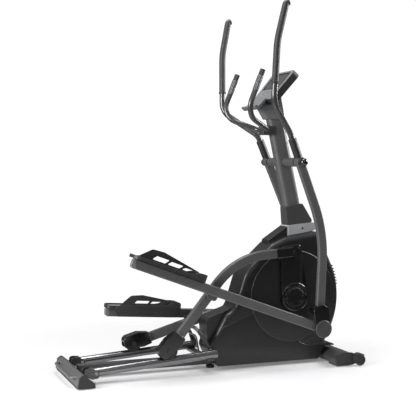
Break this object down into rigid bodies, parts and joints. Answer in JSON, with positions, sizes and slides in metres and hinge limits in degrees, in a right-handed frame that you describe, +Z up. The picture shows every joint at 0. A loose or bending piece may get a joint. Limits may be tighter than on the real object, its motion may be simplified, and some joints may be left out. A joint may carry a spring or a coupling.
{
  "type": "elliptical trainer",
  "caption": "Upright exercise machine: swinging handles drive pedal arms whose roller bars run on two sloping rails, with a flywheel drive in a rounded housing.",
  "frame": {"origin": "middle of the machine's footprint, on the floor", "axes": "+X towards the front, where the housing and transport wheels are; +Y to the machine's left; +Z up"},
  "size_m": [1.451, 0.654, 1.7398],
  "materials": {
    "painted_tube": "satin powder coat, dark graphite",
    "housing_plastic": "fine moulded texture, charcoal",
    "gloss_black": "polished black",
    "dark_plastic": "matte black",
    "light_band": "satin light grey",
    "stabiliser_grey": "satin mid grey",
    "rail_steel": "bright drawn steel",
    "bright_steel": "machined",
    "cast_iron": "turned",
    "alloy": "cast",
    "rubber": "moulded",
    "foam": "closed-cell foam",
    "sensor": "polished",
    "screen": "clear hard coat over a dark display",
    "key": "soft touch"
  },
  "bodies": {
    "frame": {"centre_beam": "painted_tube", "rear_stabiliser": "stabiliser_grey", "stabiliser_caps": "dark_plastic", "front_stabiliser": "painted_tube", "floor_pads": "rubber", "rails": "rail_steel", "rail_brackets": "painted_tube", "rail_arch": "painted_tube", "drive_frame": "painted_tube", "crank_bearings": "bright_steel", "drive_belt": "rubber", "rear_box": "housing_plastic", "mast": "painted_tube", "cross_axle": "bright_steel", "mast_cover": "dark_plastic", "collar_band": "light_band", "fixed_handlebar": "painted_tube", "sensor_plates": "sensor", "console_body": "dark_plastic", "console_screen": "screen", "console_tray": "dark_plastic", "screws": "bright_steel", "housing_right": "housing_plastic", "housing_left": "housing_plastic"},
    "crank": {"crank_axle": "bright_steel", "drive_pulley": "alloy", "crank_right": "gloss_black", "crank_left": "gloss_black"},
    "flywheel": {"flywheel": "cast_iron"},
    "brake_arm": {"brake_arm": "alloy"},
    "transport_wheels": {"transport_wheels": "dark_plastic"},
    "console_key_1": {"console_key_1": "key"},
    "console_key_2": {"console_key_2": "key"},
    "console_key_3": {"console_key_3": "key"},
    "swing_right": {"swing_arm_right": "painted_tube", "handle_right": "painted_tube", "grip_right": "foam", "joint_cover_right": "gloss_black"},
    "pivot_right": {"pivot_pin_right": "dark_plastic"},
    "pedal_arm_right": {"pedal_arm_right": "painted_tube", "pedal_right": "dark_plastic", "pedal_pad_right": "rubber"},
    "carriage_right": {"roller_axle_right": "bright_steel"},
    "roller_bar_right": {"roller_bar_right": "painted_tube", "bar_end_right": "gloss_black", "roller_hood_right": "gloss_black"},
    "roller_right": {"roller_right": "rubber"},
    "swing_left": {"swing_arm_left": "painted_tube", "handle_left": "painted_tube", "grip_left": "foam", "joint_cover_left": "gloss_black"},
    "pivot_left": {"pivot_pin_left": "dark_plastic"},
    "pedal_arm_left": {"pedal_arm_left": "painted_tube", "pedal_left": "dark_plastic", "pedal_pad_left": "rubber"},
    "carriage_left": {"roller_axle_left": "bright_steel"},
    "roller_bar_left": {"roller_bar_left": "painted_tube", "bar_end_left": "gloss_black", "roller_hood_left": "gloss_black"},
    "roller_left": {"roller_left": "rubber"}
  },
  "joints": [
    {"name": "stride", "type": "hinge", "parent": "frame", "child": "swing_right", "pos_m": [0.3945, 0, 0.995], "axis": [0, -1, 0], "range_deg": [-16, 10]},
    {"name": "swing_left_turn", "type": "hinge", "parent": "frame", "child": "swing_left", "pos_m": [0.3945, 0, 0.995], "axis": [0, -1, 0], "range_deg": [-10.1, 16.1]},
    {"name": "pivot_turn_right", "type": "hinge", "parent": "swing_right", "child": "pivot_right", "pos_m": [0.50765, 0, 0.18991], "axis": [0, -1, 0], "range_deg": [-10.1, 16.1]},
    {"name": "pedal_drop", "type": "hinge", "parent": "pivot_right", "child": "pedal_arm_right", "pos_m": [0.50765, 0, 0.18991], "axis": [0, -1, 0], "range_deg": [0, 16.2]},
    {"name": "roller_travel_right", "type": "slide", "parent": "frame", "child": "carriage_right", "axis": [0.9974, 0, 0.0723], "range_m": [-0.225, 0.141]},
    {"name": "roller_roll_right", "type": "hinge", "parent": "carriage_right", "child": "roller_right", "pos_m": [-0.25246, 0, 0.12528], "axis": [0, 1, 0], "range_deg": [-441.45, 276.66]},
    {"name": "bar_turn_right", "type": "hinge", "parent": "carriage_right", "child": "roller_bar_right", "pos_m": [-0.25246, 0, 0.12528], "axis": [0, -1, 0], "range_deg": [-31.69, 0.1]},
    {"name": "pivot_turn_left", "type": "hinge", "parent": "swing_left", "child": "pivot_left", "pos_m": [0.54266, 0, 0.19561], "axis": [0, -1, 0], "range_deg": [-16.1, 10.1]},
    {"name": "pedal_left_turn", "type": "hinge", "parent": "pivot_left", "child": "pedal_arm_left", "pos_m": [0.54266, 0, 0.19561], "axis": [0, -1, 0], "range_deg": [-16.3, 0.1]},
    {"name": "roller_travel_left", "type": "slide", "parent": "frame", "child": "carriage_left", "axis": [0.9974, 0, 0.0723], "range_m": [-0.1392, 0.2222]},
    {"name": "roller_roll_left", "type": "hinge", "parent": "carriage_left", "child": "roller_left", "pos_m": [-0.34788, 0, 0.11836], "axis": [0, 1, 0], "range_deg": [-273.23, 435.97]},
    {"name": "bar_turn_left", "type": "hinge", "parent": "carriage_left", "child": "roller_bar_left", "pos_m": [-0.34788, 0, 0.11836], "axis": [0, -1, 0], "range_deg": [-0.1, 28.45]},
    {"name": "crank_turn", "type": "hinge", "parent": "frame", "child": "crank", "pos_m": [0.4085, 0, 0.338], "axis": [0, 1, 0], "continuous": true},
    {"name": "flywheel_turn", "type": "hinge", "parent": "frame", "child": "flywheel", "pos_m": [0.5485, 0, 0.29], "axis": [0, 1, 0], "continuous": true},
    {"name": "brake_swing", "type": "hinge", "parent": "frame", "child": "brake_arm", "pos_m": [0.4785, 0, 0.374], "axis": [0, -1, 0], "range_deg": [0, 5]},
    {"name": "transport_roll", "type": "hinge", "parent": "frame", "child": "transport_wheels", "pos_m": [0.6985, 0, 0.03], "axis": [0, 1, 0], "continuous": true},
    {"name": "key_press_1", "type": "slide", "parent": "frame", "child": "console_key_1", "axis": [0.7578, 0, -0.6525], "range_m": [0, 0.0012], "stiffness_N_per_m": 900, "springref_m": -0.0006},
    {"name": "key_press_2", "type": "slide", "parent": "frame", "child": "console_key_2", "axis": [0.7578, 0, -0.6525], "range_m": [0, 0.0012], "stiffness_N_per_m": 900, "springref_m": -0.0006},
    {"name": "key_press_3", "type": "slide", "parent": "frame", "child": "console_key_3", "axis": [0.7578, 0, -0.6525], "range_m": [0, 0.0012], "stiffness_N_per_m": 900, "springref_m": -0.0006}
  ],
  "couplings": [
    {"joint": "swing_left_turn", "follows": "stride", "ratio": -1},
    {"joint": "pivot_turn_right", "follows": "stride", "ratio": -1},
    {"joint": "roller_travel_right", "follows": "stride", "m_per_rad": 0.802},
    {"joint": "roller_roll_right", "follows": "stride", "ratio": 27.466},
    {"joint": "bar_turn_right", "follows": "pedal_drop", "ratio": -1.95},
    {"joint": "pivot_turn_left", "follows": "stride", "ratio": 1},
    {"joint": "pedal_left_turn", "follows": "pedal_drop", "ratio": -1},
    {"joint": "roller_travel_left", "follows": "stride", "m_per_rad": -0.792},
    {"joint": "roller_roll_left", "follows": "stride", "ratio": -27.123},
    {"joint": "bar_turn_left", "follows": "pedal_drop", "ratio": 1.75},
    {"joint": "flywheel_turn", "follows": "crank_turn", "ratio": 5}
  ]
}
